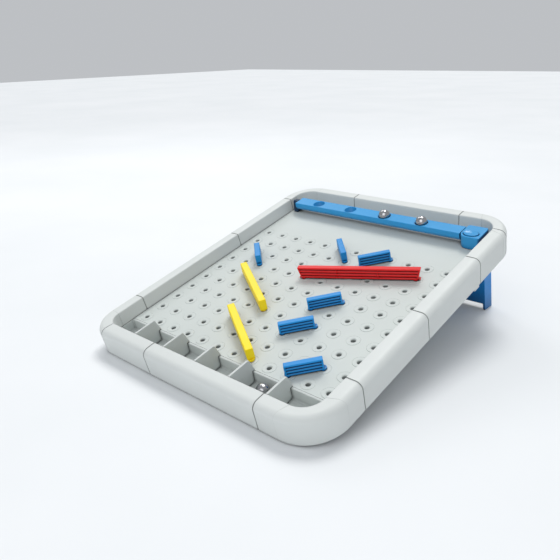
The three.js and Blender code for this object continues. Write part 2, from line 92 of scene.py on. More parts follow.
def extent(node):
    """Lowest and highest corner of a CAD node in the tray's frame."""
    points = corners_of(node)
    low = Vector([min(p[i] for p in points) for i in range(3)])
    high = Vector([max(p[i] for p in points) for i in range(3)])
    return low, high


# ------------------------------------------------------------------ driving dimensions
GAP = 0.3                          # between parts that rest on each other
BALL_R = 6.0

PITCH = 20.0                       # of the peg holes
COLUMNS = 12
ROWS = 10
DECK_THICK = 3.0
HOLE_R = 2.1
HOLE_POINTS = 24
SLEEVE = 5.1                       # the sleeves that hold the pegs reach this far below the board's top
DECK_RIB = 1.6                     # thickness of the ribs under the board

INNER_HALF_W = 121.4               # from the middle of the play area to the rim's inner top edge
INNER_HALF_L = 149.0
RING_CENTRE_Y = 115.0
RIM_W = 14.6
RIM_TOP = 14.0
RIM_BOTTOM = -12.0
RIM_WALL = 2.4
RIM_LEAN = 1.4                     # the rim's inner side leans this far into the play area at its foot
# corner radii at the rim's inner and outer edge: back right, back left, front left, front right
INNER_CORNER_R = (18.0, 18.0, 13.0, 18.0)
OUTER_CORNER_R = (38.0, 38.0, 29.0, 38.0)
SHOULDER_R = 6.4
CORNER_STEP = 4.0                  # degrees between the rings of a corner
SEAM = 0.9                         # gap between two segments on a straight side
SEAM_DEPTH = 0.75                  # a web on the tongue closes the seam below this depth
SEAM_HALF_DEG = 0.95               # half a seam's width where it lies in a corner, in degrees
BACK_RIGHT_SEAM = 13               # the two such seams, at their angles on the ring
FRONT_LEFT_SEAM = 256
SEGMENT_END_R = 0.45               # rounding of a segment's end edges

POCKET_FLOOR = -10.0
POCKET_BACK = -9.9                 # the pockets' back wall
POCKET_U = -1.6                    # and their other walls, from the rim's inner edge

CELL_COUNT = 4                     # ball cells in the launcher bar
CELL_FIRST_X = -80.5
CELL_SPACING = 44.0
CELL_R = 6.6
CELL_POINTS = 48                   # round each cup, and along the edges of its stretch of the top
BAR_HALF = 7.0                     # half the width of the bar's flat top
STUB = 2.2                         # length and radius of the pivot stubs at the bar's ends
STUB_R = 1.6
HOUSING_BIG_R = 8.0                # the housing's corner beside the bar is rounded off

EAR_OVERHANG = 1.6                 # the ears round the hinge pins stand this far in front of the web
WEB_BOTTOM = -80.5
RIB_COUNT = 5
STAND_PIN_R = 2.0

WALL_BOTTOM = 1.4                  # the walls' lower edge, held off the board by their collars
GROOVE_DEPTH = 1.3
GROOVE_WIDTH = 0.13                # as a share of the wall's height
GROOVES = (0.22, 0.51, 0.80)       # heights of the grooves on a wall's side, as shares from the bottom
END_POST = 1.3                     # length of the plain stretch at each end of the grooves
PEG_R = 1.9


def column(c):
    return (c - (COLUMNS - 1) / 2) * PITCH


def row(r):
    return r * PITCH


# ------------------------------------------------------------------ outlines
FIRST_RAY = math.radians(225)      # rings of points start at the lower left
MITRE_LIMIT = 0.4                  # keeps a sharp corner from running far ahead when it is moved inwards


def rounded(corners, degrees=15):
    """Closed outline through corners (x, y, radius), each rounded to its radius."""
    outline = []
    for i, (x, y, radius) in enumerate(corners):
        p = Vector((x, y))
        if radius <= 0:
            outline.append(p)
            continue
        a = (Vector(corners[i - 1][:2]) - p).normalized()
        b = (Vector(corners[(i + 1) % len(corners)][:2]) - p).normalized()
        half = a.angle(b) / 2
        centre = p + (a + b).normalized() * (radius / math.sin(half))
        start = p + a * (radius / math.tan(half)) - centre
        end = p + b * (radius / math.tan(half)) - centre
        first = math.atan2(start.y, start.x)
        sweep = (math.atan2(end.y, end.x) - first + math.pi) % (2 * math.pi) - math.pi
        steps = max(2, round(abs(math.degrees(sweep)) / degrees))
        for k in range(steps + 1):
            turn = first + sweep * k / steps
            outline.append(centre + radius * Vector((math.cos(turn), math.sin(turn))))
    return outline


def inset(outline, distance):
    """The closed outline moved inwards by distance."""
    if distance == 0:
        return outline
    n = len(outline)
    area = sum(outline[i - 1].x * outline[i].y - outline[i].x * outline[i - 1].y for i in range(n))
    side = 1 if area > 0 else -1
    result = []
    for i in range(n):
        before = (outline[i] - outline[i - 1]).normalized()
        after = (outline[(i + 1) % n] - outline[i]).normalized()
        n0 = Vector((-before.y, before.x)) * side
        n1 = Vector((-after.y, after.x)) * side
        middle = (n0 + n1).normalized()
        result.append(outline[i] + middle * (distance / max(MITRE_LIMIT, middle.dot(n0))))
    return result


def rounding(r, steps=4):
    """(distance from the end, inset) for the rings of an edge rounded to r, from the end inwards."""
    angles = [math.pi / 2 * k / steps for k in range(steps + 1)]
    return [(r * (1 - math.cos(a)), r * (1 - math.sin(a))) for a in angles]


def circle(x, y, radius, z, n, stretch=1.0):
    """n points of a circle, or of an oval that is stretch times as deep as it is wide."""
    angles = [FIRST_RAY + 2 * math.pi * i / n for i in range(n)]
    return [(x + radius * math.cos(a), y + stretch * radius * math.sin(a), z) for a in angles]


def rectangle(x0, x1, y0, y1, z, n):
    """n points round a rectangle, a quarter of them on each side, from the lower left corner."""
    k = n // 4
    steps = [i / k for i in range(k)]
    return (
        [(x0 + (x1 - x0) * t, y0, z) for t in steps]
        + [(x1, y0 + (y1 - y0) * t, z) for t in steps]
        + [(x1 - (x1 - x0) * t, y1, z) for t in steps]
        + [(x0, y1 - (y1 - y0) * t, z) for t in steps]
    )


# ------------------------------------------------------------------ shapes
class Shape:
    """Faces gathered in the tray's frame, to be made into one piece."""

    def __init__(self):
        self.verts = []
        self.faces = []

    def loft(self, rings, caps=True, loop=False):
        """Quads between rings of equal length, with the first and last ring closed if caps is true."""
        base = len(self.verts)
        n = len(rings[0])
        for ring in rings:
            self.verts.extend(tuple(p) for p in ring)
        spans = len(rings) if loop else len(rings) - 1
        for s in range(spans):
            a = base + s * n
            b = base + ((s + 1) % len(rings)) * n
            self.faces.extend((a + i, a + (i + 1) % n, b + (i + 1) % n, b + i) for i in range(n))
        if caps and not loop:
            last = base + (len(rings) - 1) * n
            self.faces.append(tuple(base + i for i in reversed(range(n))))
            self.faces.append(tuple(last + i for i in range(n)))
        return self

    def prism(self, outline, place, low, high, r=0.4):
        """The outline drawn out from low to high, its end edges rounded to r.

        place turns a point of the outline and a distance along the prism into a point in the tray's frame.
        """
        marks = [(low + d, shrink) for d, shrink in rounding(r)]
        marks += [(high - d, shrink) for d, shrink in reversed(rounding(r))]
        return self.loft([[place(p, t) for p in inset(outline, shrink)] for t, shrink in marks])

    def flat(self, outline, z):
        """One flat face."""
        base = len(self.verts)
        self.verts.extend((x, y, z) for x, y in outline)
        self.faces.append(tuple(range(base, base + len(outline))))
        return self

    def turned(self, profile, centre, n):
        """A profile of (radius, height) turned round an upright axis through centre, closed at both ends."""
        return self.loft([circle(centre[0], centre[1], radius, z, n) for radius, z in profile])


def along_x(point, t):
    return (t, point[0], point[1])


def along_y(point, t):
    return (point[0], t, point[1])


def upright(point, t):
    return (point[0], point[1], t)


MERGE_DIST = 1e-3                  # points nearer to each other than this become one
SLIVER_DIST = 1e-4                 # and edges shorter than this go
SHARP_DEG = 38                     # edges that turn by more than this stay crisp


def piece(shape, name, body, material, slot, *nodes):
    """Makes the shape into one object that rides on body and stands for the CAD nodes named."""
    mesh = bpy.data.meshes.new(name)
    bm = bmesh.new()
    verts = [bm.verts.new(v) for v in shape.verts]
    for face in shape.faces:
        bm.faces.new([verts[i] for i in face])
    bmesh.ops.remove_doubles(bm, verts=bm.verts, dist=MERGE_DIST)
    bmesh.ops.dissolve_degenerate(bm, dist=SLIVER_DIST, edges=bm.edges)
    bmesh.ops.recalc_face_normals(bm, faces=bm.faces)
    bm.transform(TRAY)
    bm.to_mesh(mesh)
    bm.free()
    mesh.shade_smooth()
    mesh.set_sharp_from_angle(angle=math.radians(SHARP_DEG))
    obj = bpy.data.objects.new(name, mesh)
    bpy.context.scene.collection.objects.link(obj)
    mesh.materials.append(material)
    weighted = obj.modifiers.new("even shading", "WEIGHTED_NORMAL")
    weighted.keep_sharp = True
    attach(obj, body)
    if nodes:
        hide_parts(*nodes)
    return obj


# ------------------------------------------------------------------ materials
def srgb(*values):
    """Linear colour from 0-255 display values."""
    linear = [v / 255 / 12.92 if v <= 10 else ((v / 255 + 0.055) / 1.055) ** 2.4 for v in values]
    return (*linear, 1.0)


class Recipe:
    """A node material, with short calls for the nodes that the finishes share."""

    def __init__(self, name, **sockets):
        self.material = bpy.data.materials.new(name)
        self.material.use_nodes = True
        self.tree = self.material.node_tree
        self.shader = self.tree.nodes["Principled BSDF"]
        for socket, value in sockets.items():
            self.shader.inputs[socket.replace("_", " ")].default_value = value
        self.coords = self.tree.nodes.new("ShaderNodeTexCoord").outputs["Object"]

    def feed(self, socket, value):
        """Links a node's output to the socket, or sets a plain value on it."""
        if isinstance(value, bpy.types.NodeSocket):
            self.tree.links.new(value, socket)
        else:
            socket.default_value = value

    def node(self, kind, settings=None, **inputs):
        made = self.tree.nodes.new(kind)
        for key, value in (settings or {}).items():
            setattr(made, key, value)
        for key, value in inputs.items():
            self.feed(made.inputs[key.replace("_", " ")], value)
        return made

    def link(self, output, socket):
        self.tree.links.new(output, self.shader.inputs[socket])

    def noise(self, scale, detail=3.0, stretch=(1, 1, 1), turn=(0, 0, 0)):
        """Noise with about scale blotches to the metre."""
        mapped = self.node("ShaderNodeMapping", Vector=self.coords, Scale=stretch, Rotation=turn)
        made = self.node("ShaderNodeTexNoise", Vector=mapped.outputs[0], Scale=scale, Detail=detail)
        return made.outputs[0]

    def ramp(self, value, low, high, to_low=0.0, to_high=1.0):
        """value brought from the range low to high into the range to_low to to_high, and held there."""
        made = self.node("ShaderNodeMapRange", Value=value, From_Min=low, From_Max=high,
                         To_Min=to_low, To_Max=to_high)
        return made.outputs[0]

    def mix(self, factor, a, b):
        """Colour a, and more of colour b as factor rises."""
        made = self.node("ShaderNodeMix", {"data_type": "RGBA"})
        # the node's sockets by number, because its number, vector and colour sockets share names
        for place, value in ((0, factor), (6, a), (7, b)):
            self.feed(made.inputs[place], value)
        return made.outputs[2]

    def calc(self, operation, a, b):
        made = self.node("ShaderNodeMath", {"operation": operation})
        self.feed(made.inputs[0], a)
        self.feed(made.inputs[1], b)
        return made.outputs[0]


def tinted(colour, share):
    """The colour made darker or lighter by a share."""
    return (*[min(1.0, c * share) for c in colour[:3]], 1.0)


# noise scales of the finishes, in blotches to the metre
CLOUDS = 14
SINK_MARKS = 16
GLOSS_PATCHES = 48
FILM = 160
RUBS = 260
SCRATCHES = 700
SPECKS = 900
SPARK = 2600


def plastic(name, colour, rough, deep, grain, mottle, painted_shade, reach=3, low=0.42):
    """Moulded plastic: a cloudy tint, a fine spark texture, rubbed edges and painted shade in hollows.

    deep is the colour of the painted shade laid into grooves, holes and inner corners closer than reach
    millimetres, and the argument after mottle is how strongly it is painted. low is the share of open sky at
    which it shows in full.
    """
    m = Recipe(name, IOR=1.42)
    body = m.mix(m.ramp(m.noise(CLOUDS), 0.32, 0.68), tinted(colour, 1 - mottle), tinted(colour, 1 + mottle))
    specks = m.ramp(m.noise(SPECKS), 0.62, 0.74, 0, 7 * mottle)
    body = m.mix(specks, body, tinted(colour, 1 - 1.4 * mottle))
    edge = m.node("ShaderNodeNewGeometry").outputs["Pointiness"]
    rubbed = m.calc("MULTIPLY", m.ramp(edge, 0.53, 0.60), m.ramp(m.noise(RUBS), 0.35, 0.6))
    body = m.mix(m.calc("MULTIPLY", rubbed, 0.25), body, tinted(colour, 1.25))
    # painted shade: ambient occlusion darkens the base colour towards deep in grooves, holes and corners
    hollow = m.node("ShaderNodeAmbientOcclusion", {"samples": 8}, Distance=0.001 * reach)
    shade = m.ramp(hollow.outputs["AO"], low, low + 0.5, painted_shade, 0)
    m.link(m.mix(shade, body, deep), "Base Color")
    patches = m.ramp(m.noise(GLOSS_PATCHES, 5), 0.3, 0.7, rough - 0.05, rough + 0.06)
    m.link(m.calc("ADD", patches, m.calc("MULTIPLY", rubbed, 0.1)), "Roughness")
    fine = m.node("ShaderNodeBump", Height=m.noise(SPARK, 2), Strength=grain, Distance=0.0001)
    sink = m.node("ShaderNodeBump", Height=m.noise(SINK_MARKS, 2), Strength=0.05, Distance=0.0012,
                  Normal=fine.outputs[0])
    m.link(sink.outputs[0], "Normal")
    return m.material


def steel(name, colour, low, high, brushed=False):
    """Bare steel: patchy polish and hairline scratches, drawn along x if it is brushed."""
    m = Recipe(name, Metallic=1.0)
    stretch = (1, 30, 30) if brushed else (1, 9, 2)
    lines = m.noise(SCRATCHES, 2, stretch=stretch, turn=(0.0, 0.0, 0.0 if brushed else 0.6))
    film = m.noise(FILM, 4)
    m.link(m.mix(m.ramp(film, 0.4, 0.7), colour, tinted(colour, 0.86)), "Base Color")
    polish = m.ramp(film, 0.3, 0.7, low, high)
    m.link(m.calc("ADD", polish, m.ramp(lines, 0.68, 0.74, 0, 0.12)), "Roughness")
    m.link(m.node("ShaderNodeBump", Height=lines, Strength=0.05, Distance=0.00005).outputs[0], "Normal")
    return m.material


# the second colour of each plastic below is painted shade, laid into its grooves, holes and inner corners
RIM_GREY = plastic("rim plastic", srgb(209, 213, 211), 0.46, srgb(96, 98, 96),
                   grain=0.05, mottle=0.015, painted_shade=0.7)
# near-black painted shade fills the peg holes and darkens the board's corners, out to 6 mm
DECK_GREY = plastic("deck plastic", srgb(197, 203, 200), 0.50, srgb(44, 48, 50),
                    grain=0.12, mottle=0.02, painted_shade=1.0, reach=6, low=0.1)
POCKET_GREY = plastic("pocket plastic", srgb(199, 204, 202), 0.50, srgb(96, 100, 98),
                      grain=0.12, mottle=0.02, painted_shade=0.8)
LAUNCHER_BLUE = plastic("launcher plastic", srgb(42, 148, 208), 0.34, srgb(2, 36, 92),
                        grain=0.05, mottle=0.04, painted_shade=0.9, reach=9, low=0.3)
BRACKET_BLUE = plastic("bracket plastic", srgb(6, 48, 78), 0.40, srgb(2, 14, 28),
                       grain=0.05, mottle=0.05, painted_shade=0.7)
# a long reach paints the shadow that the tray casts on the stand's web, in dark navy
STAND_BLUE = plastic("stand plastic", srgb(0, 134, 214), 0.42, srgb(0, 12, 40),
                     grain=0.10, mottle=0.05, painted_shade=1.0, reach=60, low=0.28)
# painted shade darkens the walls' grooves, so that the ridges between them stand out
WALL_RED = plastic("red plastic", srgb(224, 10, 14), 0.34, srgb(88, 0, 4),
                   grain=0.05, mottle=0.04, painted_shade=0.95)
WALL_YELLOW = plastic("yellow plastic", srgb(250, 222, 8), 0.34, srgb(214, 160, 8),
                      grain=0.05, mottle=0.03, painted_shade=0.7)
WALL_BLUE = plastic("blue plastic", srgb(0, 134, 206), 0.32, srgb(0, 22, 66),
                    grain=0.05, mottle=0.05, painted_shade=1.0)
BALL_STEEL = steel("polished steel", srgb(176, 176, 178), 0.10, 0.20)
PIN_STEEL = steel("drawn steel", srgb(168, 170, 172), 0.26, 0.36, brushed=True)


# ------------------------------------------------------------------ the ring that the rim follows
SIDES = ("front", "right", "back", "left")    # in the order that the ring passes them


def corner_of(degrees):
    """Number of the corner that an angle on the ring lies in, 0 at the back right, anticlockwise."""
    return int(((degrees + 1e-6) % 360) // 90)


def corner_radius(u, degrees):
    corner = corner_of(degrees)
    return INNER_CORNER_R[corner] + u / RIM_W * (OUTER_CORNER_R[corner] - INNER_CORNER_R[corner])


def ring_point(station, u):
    """x, y at distance u outside the rim's inner top edge.

    A station is a side and the place along it, or "turn" and an angle in degrees.
    """
    kind, value = station
    if kind == "front":
        return value, RING_CENTRE_Y - INNER_HALF_L - u
    if kind == "right":
        return INNER_HALF_W + u, value
    if kind == "back":
        return value, RING_CENTRE_Y + INNER_HALF_L + u
    if kind == "left":
        return -INNER_HALF_W - u, value
    r = corner_radius(u, value)
    a = math.radians(value)
    quadrant = math.radians(corner_of(value) * 90 + 45)
    x = math.copysign(INNER_HALF_W + u - r, math.cos(quadrant))
    y = math.copysign(INNER_HALF_L + u - r, math.sin(quadrant)) + RING_CENTRE_Y
    return x + r * math.cos(a), y + r * math.sin(a)


def moved(station, distance):
    """The station moved along the ring, anticlockwise seen from above."""
    kind, value = station
    if kind == "turn":
        return kind, value + math.degrees(distance / corner_radius(RIM_W / 2, value))
    return kind, value + (distance if kind in ("front", "right") else -distance)


def turn_stations(first, last):
    """Stations round a corner, kept just inside it at both ends."""
    margin = 1e-3
    steps = max(1, round((last - first) / CORNER_STEP))
    angles = [first + margin + (last - first) * k / steps for k in range(steps + 1)]
    return [("turn", min(last - 2 * margin, angle)) for angle in angles]


def rim_outline():
    """Section of the rim as (u, z): a channel open downwards, with a softly crowned top."""
    shoulder = RIM_W - SHOULDER_R
    crown = 0.3
    draft = 0.45
    inside = RIM_W - 0.4 - RIM_WALL
    return rounded([
        (-RIM_LEAN, GAP, 0.3),
        (0, RIM_TOP, 1.3),
        (shoulder - 2, RIM_TOP - crown / 3, 12),
        (RIM_W, RIM_TOP - crown, SHOULDER_R - crown),
        (RIM_W - draft, RIM_BOTTOM, 0.9),
        (inside, RIM_BOTTOM, 0.5),
        (RIM_W - RIM_WALL, RIM_TOP - RIM_WALL, 4),
        (RIM_WALL + 0.2, RIM_TOP - RIM_WALL, 0.6),
        (RIM_WALL - RIM_LEAN, GAP, 0.3),
    ], degrees=10)


RIM_OUTLINE = rim_outline()
RIM = {  # where each segment starts and ends: on a side, or at an angle in a corner
    "rim_front_rail": ("front", "front"),
    "rim_front_right_corner": ("front", "right"),
    "rim_right_front": ("right", "right"),
    "rim_right_middle": ("right", "right"),
    "rim_right_back": ("right", BACK_RIGHT_SEAM - SEAM_HALF_DEG),
    "rim_back_right_corner": (BACK_RIGHT_SEAM + SEAM_HALF_DEG, "back"),
    "rim_back_rail": ("back", "back"),
    "rim_back_left_corner": ("back", "left"),
    "rim_left_back": ("left", "left"),
    "rim_left_front": ("left", "left"),
    "rim_front_left_corner": ("left", FRONT_LEFT_SEAM - SEAM_HALF_DEG),
    "rim_front_left_rail": (FRONT_LEFT_SEAM + SEAM_HALF_DEG, "front"),
}
# a faint line where the corner's mould insert met the rail's: (distance along the ring, depth)
WITNESS_LINE = ((0.0, 0), (0.14, 0.13), (0.34, 0.13), (0.48, 0))


def segment_end(node, where, first):
    """The station where a segment starts or ends, read off its CAD node."""
    if not isinstance(where, str):
        return "turn", where
    low, high = extent(node)
    forwards = where in ("front", "right")
    axis = 0 if where in ("front", "back") else 1
    return where, (low if first == forwards else high)[axis]


def segment_stations(start, end):
    """The corner stations between two ends, with the corner's own first and last angle."""
    first = start[1] if start[0] == "turn" else SIDES.index(start[0]) * 90 - 90
    last = end[1] if end[0] == "turn" else SIDES.index(end[0]) * 90 - 90
    if last <= first:
        return []
    return turn_stations(first, last)


def rim_ring(station, shrink):
    return [(*ring_point(station, p.x), p.y) for p in inset(RIM_OUTLINE, shrink)]


def rim_marks(start, end):
    """(station, inset) of each section of a segment, from one rounded end to the other.

    Where a corner's bend meets a straight stretch, a witness line is let in.
    """
    marks = [(moved(start, d), shrink) for d, shrink in rounding(SEGMENT_END_R)]
    bends = segment_stations(start, end)
    for i, station in enumerate(bends):
        at_start = i == 0
        at_end = i == len(bends) - 1
        if (at_start and start[0] != "turn") or (at_end and end[0] != "turn"):
            direction = 1 if at_start else -1
            group = [(moved(station, direction * d), depth) for d, depth in WITNESS_LINE]
            marks += group if at_start else group[::-1]
        elif not at_start and not at_end:
            marks.append((station, 0))
    marks += [(moved(end, -d), shrink) for d, shrink in reversed(rounding(SEGMENT_END_R))]
    return marks


def rim_catch(shape, node):
    """The small catch under a segment, near its far end."""
    low, high = extent(node)
    x0, x1 = high.x - 2.6, high.x - 1
    y0, y1 = high.y - 10, high.y - 1.4
    outline = rounded([(x0, y0, 0.3), (x1, y0, 0.3), (x1, y1, 0.5), (x0, y1, 0.5)])
    shape.prism(outline, upright, low.z, RIM_BOTTOM + 1, 0.5)


def rim_tongue(end):
    """The tongue that carries the next segment, and the web on it that closes the seam from below."""
    top = RIM_TOP - RIM_WALL
    thick = 1.1
    outline = rounded([
        (RIM_WALL - RIM_LEAN + 0.15, GAP + 0.6, 0.3), (RIM_WALL + 0.3, top - 0.1, 0.6),
        (RIM_W - RIM_WALL - 0.1, top - 0.1, 4), (RIM_W - 0.5 - RIM_WALL, RIM_BOTTOM + 1, 0.3),
        (RIM_W - 0.5 - RIM_WALL - thick, RIM_BOTTOM + 1, 0.3), (RIM_W - RIM_WALL - 1.3, top - 1.3, 3),
        (RIM_WALL + 1.3, top - 1.3, 0.4), (RIM_WALL - RIM_LEAN + 1.2, GAP + 0.6, 0.3)], degrees=22)
    rings = []
    for d in (-4, -2, 0, 2, 4):
        station = moved(end, d)
        rings.append([(*ring_point(station, p.x), p.y) for p in outline])
    gap = SEAM
    if end[0] == "turn":
        gap = math.radians(2 * SEAM_HALF_DEG) * corner_radius(RIM_W / 2, end[1])
    web = [rim_ring(moved(end, d), SEAM_DEPTH) for d in (0.03, gap - 0.03)]
    return Shape().loft(rings).loft(web)


def rim_segment(node):
    slot = "rim_grey"
    start_kind, end_kind = RIM[node]
    start = segment_end(node, start_kind, True)
    end = segment_end(node, end_kind, False)
    shape = Shape().loft([rim_ring(station, shrink) for station, shrink in rim_marks(start, end)])
    if node == "rim_right_middle":
        rim_catch(shape, node)
    piece(shape, node + "_moulding", "tray", RIM_GREY, slot, node)
    piece(rim_tongue(end), node + "_tongue", "tray", RIM_GREY, slot)


# ------------------------------------------------------------------ tray
BOSS = (  # (radius, height): a fine groove and a low pad round each hole, down the hole, up its sleeve
    (6.4, 0.0), (6.25, -0.16), (6.05, -0.16),
    (5.8, 0.2), (3.1, 0.25), (2.8, 0.15),
    (2.25, -0.4), (HOLE_R, -0.65), (HOLE_R, -SLEEVE + 0.15),
    (HOLE_R + 0.15, -SLEEVE), (3.4, -SLEEVE), (3.5, -SLEEVE + 0.1), (3.6, -DECK_THICK),
)


def hole_cells(shape, front):
    """The squares round the holes, each with its pad, its hole and its sleeve."""
    for r in range(ROWS):
        for c in range(COLUMNS):
            x, y = column(c), row(r)
            y0 = max(front, y - PITCH / 2)
            cell = (x - PITCH / 2, x + PITCH / 2, y0, y + PITCH / 2)
            rings = [rectangle(*cell, 0, HOLE_POINTS)]
            rings += [circle(x, y, radius, z, HOLE_POINTS) for radius, z in BOSS]
            rings.append(rectangle(*cell, -DECK_THICK, HOLE_POINTS))
            shape.loft(rings, caps=False)


def deck_border(shape, front, half_w):
    """The plain board round the grid of holes, and its outer edge."""
    edge_u = half_w - INNER_HALF_W
    k = HOLE_POINTS // 4
    left, right, top = column(-0.5), column(COLUMNS - 0.5), row(ROWS - 0.5)
    ys = [front + (PITCH / 2 - front) * i / k for i in range(k)]
    ys += [PITCH / 2 + PITCH * i / k for i in range(k * (ROWS - 1) + 1)]
    xs = [left + PITCH * i / k for i in range(k * COLUMNS + 1)]
    outer = [(half_w, front)]
    outer += [ring_point(s, edge_u) for s in turn_stations(0, 90) + turn_stations(90, 180)]
    outer.append((-half_w, front))
    grid_edge = [(left, y) for y in ys] + [(x, top) for x in xs[1:-1]] + [(right, y) for y in reversed(ys)]
    for z in (0, -DECK_THICK):
        shape.flat(outer + grid_edge, z)
    edge = outer + [(x, front) for x in xs]
    shape.loft([[(x, y, z) for x, y in edge] for z in (0, -DECK_THICK)], caps=False)


def deck_ribs(shape):
    """Ribs under the board that stiffen it, between its rows and columns of holes."""
    half = DECK_RIB / 2
    top = -DECK_THICK + 0.5
    front, back, side = -7, 150, 118
    for c in (2.5, 5.5, 8.5):
        outline = rounded([(front, -6.4, 0.6), (back, -6.4, 0.6), (back + 6, top, 0), (front, top, 0)])
        shape.prism(outline, along_x, column(c) - half, column(c) + half, 0.3)
    for r in (2.5, 5.5):
        outline = rounded([(-side, -5.4, 0.6), (side, -5.4, 0.6), (side, top, 0), (-side, top, 0)])
        shape.prism(outline, along_y, row(r) - half, row(r) + half, 0.3)


def deck_plate():
    low, high = extent("deck_plate")
    shape = Shape()
    hole_cells(shape, low.y)
    deck_border(shape, low.y, high.x)
    deck_ribs(shape)
    piece(shape, "peg_board", "tray", DECK_GREY, "deck_grey", "deck_plate")


def arc(x, y, radius, angles, z):
    """Points of an arc round x, y at these angles in degrees."""
    turns = [math.radians(a) for a in angles]
    return [(x + radius * math.cos(a), y + radius * math.sin(a), z) for a in turns]


def tub_ring(u, back, back_r, z):
    """Outline of the pocket tub at distance u from the rim's inner edge, straight across at y = back."""
    side = INNER_HALF_W + u - back_r
    ring = arc(-side, back - back_r, back_r, (90, 112.5, 135, 157.5, 180), z)
    ring += [(*ring_point(s, u), z) for s in turn_stations(180, 270) + turn_stations(270, 360)]
    ring += arc(side, back - back_r, back_r, (0, 22.5, 45, 67.5, 90), z)
    return ring


def pocket_tray():
    low, high = extent("pocket_tray")
    lip = high.y
    draft = 0.3
    # up the inside from the floor, with a rounded foot, to a lip that is rounded outwards
    foot_u, foot_back = POCKET_U - draft, POCKET_BACK - draft
    rings = [(foot_u - s, foot_back - s, 1.2, POCKET_FLOOR + d) for d, s in rounding(1.6)]
    rings += [(POCKET_U + s, POCKET_BACK + s, 1.2, -d) for d, s in reversed(rounding(0.9))]
    # out over the flange beside the board's front edge, and down the outside
    rings.append((high.x - INNER_HALF_W, lip, 0.4, 0))
    rings.append((high.x - INNER_HALF_W, lip, 0.4, -DECK_THICK))
    rings.append((0, lip, 0.4, -DECK_THICK))
    rings += [(-s, lip - s, 0.6, low.z + d) for d, s in reversed(rounding(1.2))]
    shape = Shape().loft([tub_ring(*ring) for ring in rings])
    piece(shape, "pocket_tub", "tray", POCKET_GREY, "deck_grey", "pocket_tray")


def pocket_divider(node):
    """An upright divider, which stands on the pockets' floor and steps up onto the board behind them."""
    low, high = extent(node)
    front, back = low.y, high.y
    step = POCKET_BACK - GAP
    shoulder = front + 22.4
    outline = rounded([
        (front + RIM_LEAN, low.z, 0.4), (step, low.z, 0.8), (step, GAP, 0), (back, GAP, 0.5),
        (shoulder, high.z, 2.0), (front, high.z, 0.5), (front + RIM_LEAN, 0, 0)])
    shape = Shape().prism(outline, along_x, low.x, high.x, 0.5)
    piece(shape, node + "_moulding", "tray", POCKET_GREY, "deck_grey", node)


# ------------------------------------------------------------------ launcher
def cup_profile(centre_z, radius, top, lip=0.35, steps=9):
    """(radius, height) down into a ball cup, from the rounded edge at the top to the bottom."""
    drop = centre_z - top
    mouth = math.sqrt(radius * radius - drop * drop)
    profile = [(mouth + lip, top), (mouth + 0.3 * lip, top - 0.18), (mouth - 0.05, top - 0.6)]
    start = math.acos((centre_z - profile[-1][1]) / radius)
    for k in range(1, steps + 1):
        a = start * (1 - k / steps)
        profile.append((radius * math.sin(a), centre_z - radius * math.cos(a)))
    return profile


def bar_cells(shape, left, right, top):
    """The bar's flat top in one stretch for each cell, with its cup. Returns the marks along its edge."""
    n = CELL_POINTS
    k = n // 4
    cup = cup_profile(extent("ball_launcher_3")[0].z + BALL_R, CELL_R, top)
    ends = [left] + [CELL_FIRST_X + (i + 0.5) * CELL_SPACING for i in range(CELL_COUNT - 1)] + [right]
    xs = []
    for i in range(CELL_COUNT):
        x0, x1 = ends[i], ends[i + 1]
        centre = CELL_FIRST_X + i * CELL_SPACING
        rings = [rectangle(x0, x1, PIVOT_Y - BAR_HALF, PIVOT_Y + BAR_HALF, top, n)]
        rings += [circle(centre, PIVOT_Y, r, z, n) for r, z in cup]
        shape.loft(rings, caps=False)
        xs += [x0 + (x1 - x0) * j / k for j in range(k)]
    xs.append(right)
    return xs


def bar_body(shape, xs, top, bottom):
    """The bar below its flat top: the same section at each mark, and the two ends."""
    # (distance from the pivot axis, height, corner radius) down one side, which the other side mirrors
    side = [(BAR_HALF + 0.5, top, 0.5), (BAR_HALF + 0.5, PIVOT_Z - 3, 1.5),
            (5.6, PIVOT_Z - 6.2, 1.5), (3.2, bottom, 1.5)]
    body = rounded([(PIVOT_Y + d, z, r) for d, z, r in side]
                   + [(PIVOT_Y - d, z, r) for d, z, r in reversed(side)])
    first = max(range(len(body)), key=lambda i: (round(body[i].y, 3), body[i].x))
    body = body[first:] + body[:first]
    verts = len(body)
    base = len(shape.verts)
    for x in xs:
        shape.verts.extend((x, p.x, p.y) for p in body)
    for s in range(len(xs) - 1):
        for i in range(verts - 1):
            a = base + s * verts + i
            shape.faces.append((a, a + 1, a + 1 + verts, a + verts))
    # the ends close on the two short sides of the outermost cells
    k = CELL_POINTS // 4
    ys = [PIVOT_Y - BAR_HALF + 2 * BAR_HALF * j / k for j in range(1, k)]
    for s in (0, len(xs) - 1):
        end = list(range(base + s * verts, base + (s + 1) * verts))
        extra = len(shape.verts)
        shape.verts.extend((xs[s], y, top) for y in ys)
        shape.faces.append(tuple(end + list(range(extra, extra + len(ys)))))


def launcher_bar():
    low, high = extent("launcher_bar")
    left, right = low.x + STUB, high.x - STUB
    shape = Shape()
    xs = bar_cells(shape, left, right, high.z)
    bar_body(shape, xs, high.z, low.z)
    for x0, x1 in ((low.x, left + 1), (right - 1, high.x)):
        outline = [Vector(p[:2]) for p in circle(PIVOT_Y, PIVOT_Z, STUB_R, 0, 24)]
        shape.prism(outline, along_x, x0, x1, 0.25)
    piece(shape, "launcher_bar_moulding", "launcher", LAUNCHER_BLUE, "launcher_blue", "launcher_bar")


def pivot_bracket():
    low, high = extent("launcher_pivot_bracket")
    outline = rounded([(low.y, low.z, 0.4), (high.y, low.z, 0.4), (high.y - 2, high.z, 2.2),
                       (low.y + 2, high.z, 2.2)])
    shape = Shape().prism(outline, along_x, low.x, high.x, 0.6)
    piece(shape, "pivot_bracket_moulding", "tray", BRACKET_BLUE, "launcher_blue", "launcher_pivot_bracket")


